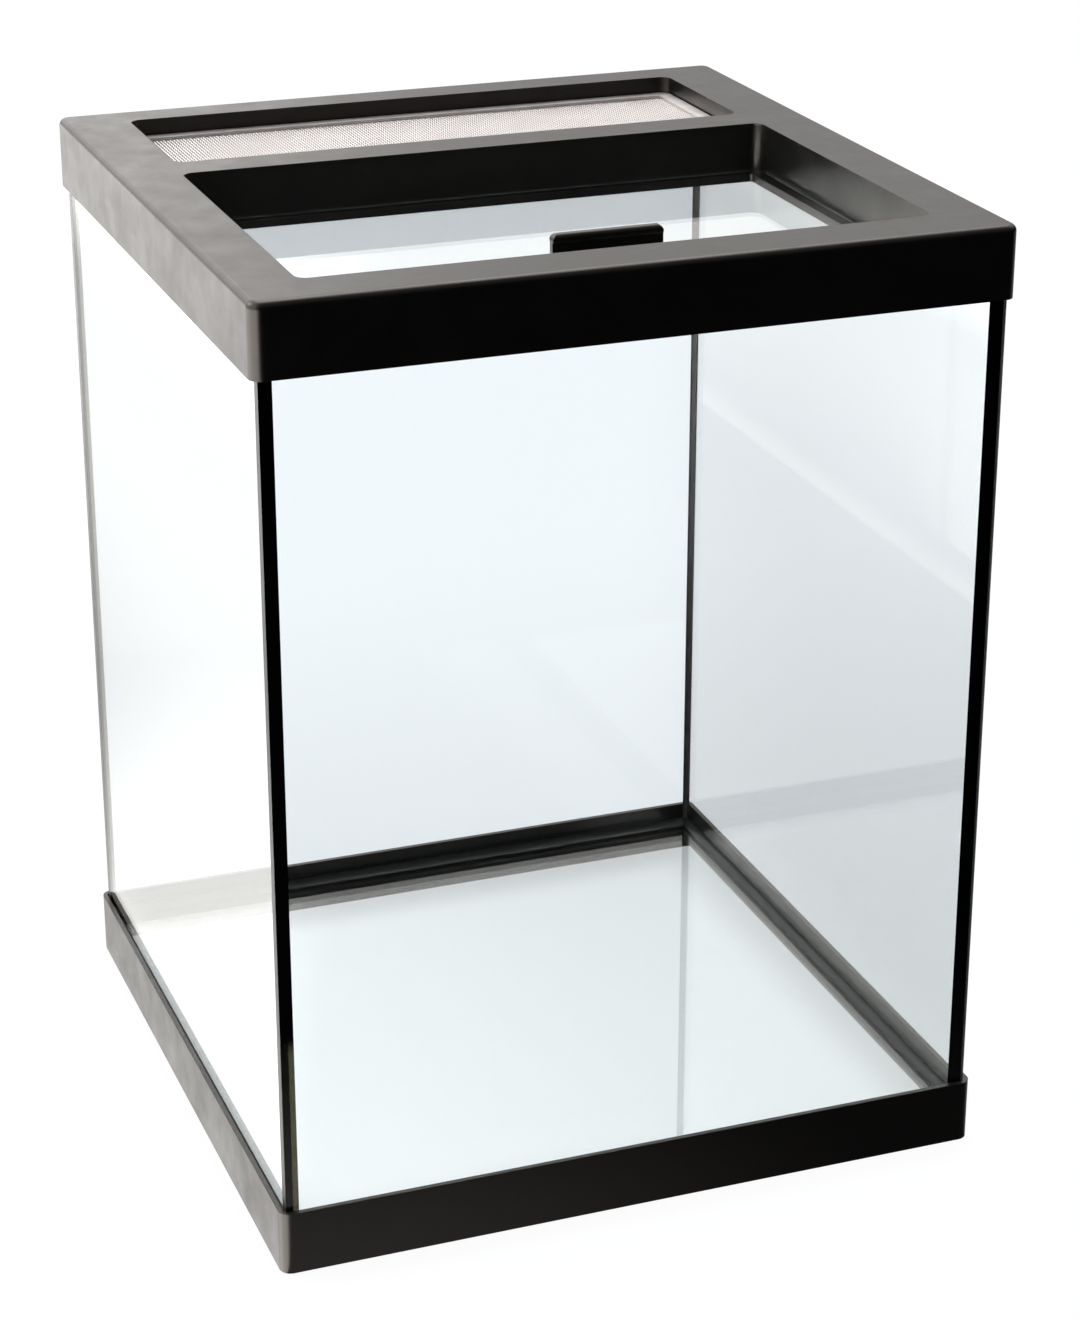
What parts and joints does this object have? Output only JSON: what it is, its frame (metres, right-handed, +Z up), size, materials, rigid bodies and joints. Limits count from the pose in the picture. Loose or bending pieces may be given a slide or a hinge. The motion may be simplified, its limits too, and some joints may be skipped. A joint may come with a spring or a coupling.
{
  "type": "glass terrarium",
  "caption": "All-glass terrarium with black moulded plastic frames, a sunken glass lid that tips up by its finger grip, and a mesh vent behind a crossbar.",
  "frame": {"origin": "middle of the footprint, on the surface that the tank stands on", "axes": "+Z up, +X to the right along the front, +Y from the front to the back"},
  "size_m": [0.312, 0.312, 0.412],
  "materials": {
    "black_plastic": "moulded, satin to glossy",
    "pane_glass": "clear float glass, faint green-blue edge",
    "black_silicone": "tooled smooth",
    "vent_metal": "satin",
    "foam_tape": "closed-cell foam"
  },
  "bodies": {
    "tank": {"top_frame": "black_plastic", "bottom_frame": "black_plastic", "front_pane": "pane_glass", "back_pane": "pane_glass", "left_pane": "pane_glass", "right_pane": "pane_glass", "floor_pane": "pane_glass", "corner_seal_front_left": "black_silicone", "corner_seal_front_right": "black_silicone", "corner_seal_back_left": "black_silicone", "corner_seal_back_right": "black_silicone", "floor_seal": "black_silicone", "top_bedding": "black_silicone", "bottom_bedding": "black_silicone", "vent_channel": "vent_metal", "vent_mesh": "vent_metal"},
    "lid": {"lid_glass": "pane_glass", "grip_tape": "foam_tape", "lid_grip": "black_plastic"}
  },
  "joints": [
    {"name": "lid_tilt", "type": "hinge", "parent": "tank", "child": "lid", "pos_m": [0, 0.034, 0.39], "axis": [-1, 0, 0], "range_deg": [0, 92]}
  ]
}
